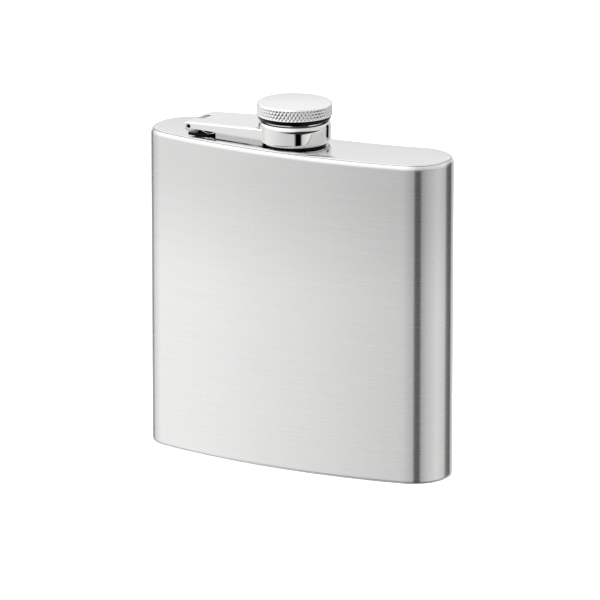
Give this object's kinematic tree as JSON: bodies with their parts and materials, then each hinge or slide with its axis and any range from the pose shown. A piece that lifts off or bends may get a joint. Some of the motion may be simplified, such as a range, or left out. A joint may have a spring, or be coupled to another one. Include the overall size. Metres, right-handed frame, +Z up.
{
  "type": "hip flask",
  "caption": "Curved pocket flask with a captive knurled screw cap on a hinged arm that swings clear of the spout.",
  "frame": {"origin": "on the flat base, below the middle of the body where its thickness is measured", "axes": "+Z up through the spout, -Y out of the convex front face, +X to the right seen from the front; the cap's hinge is at -X"},
  "size_m": [0.095, 0.0267, 0.1054],
  "materials": {
    "brushed_body": "horizontal brushed stainless steel",
    "polished_plate": "polished stainless steel",
    "bright_trim": "mirror polished steel",
    "satin_cap": "satin steel with a diamond knurl",
    "seal": "matt white food-grade seal"
  },
  "bodies": {
    "flask": {"body_shell": "brushed_body", "top_plate": "polished_plate", "bottom_plate": "brushed_body", "neck": "polished_plate", "hinge_bracket": "polished_plate", "hinge_pin": "bright_trim", "leaf_spring": "polished_plate"},
    "arm": {"arm_strap": "bright_trim", "retaining_collar": "bright_trim"},
    "seal": {"cap_gasket": "seal"},
    "cap": {"cap_skirt": "bright_trim", "cap_head": "satin_cap"}
  },
  "joints": [
    {"name": "arm_swing", "type": "hinge", "parent": "flask", "child": "arm", "pos_m": [-0.0305, 0.0004, 0.0956], "axis": [0, -1, 0], "range_deg": [0, 175]},
    {"name": "cap_lift", "type": "slide", "parent": "arm", "child": "seal", "axis": [0, 0, 1], "range_m": [0, 0.0036]},
    {"name": "cap_turn", "type": "hinge", "parent": "seal", "child": "cap", "pos_m": [0, 0.0004, 0.1], "axis": [0, 0, 1], "range_deg": [0, 630]}
  ],
  "couplings": [
    {"joint": "cap_lift", "follows": "cap_turn", "m_per_rad": 0.00031831}
  ]
}
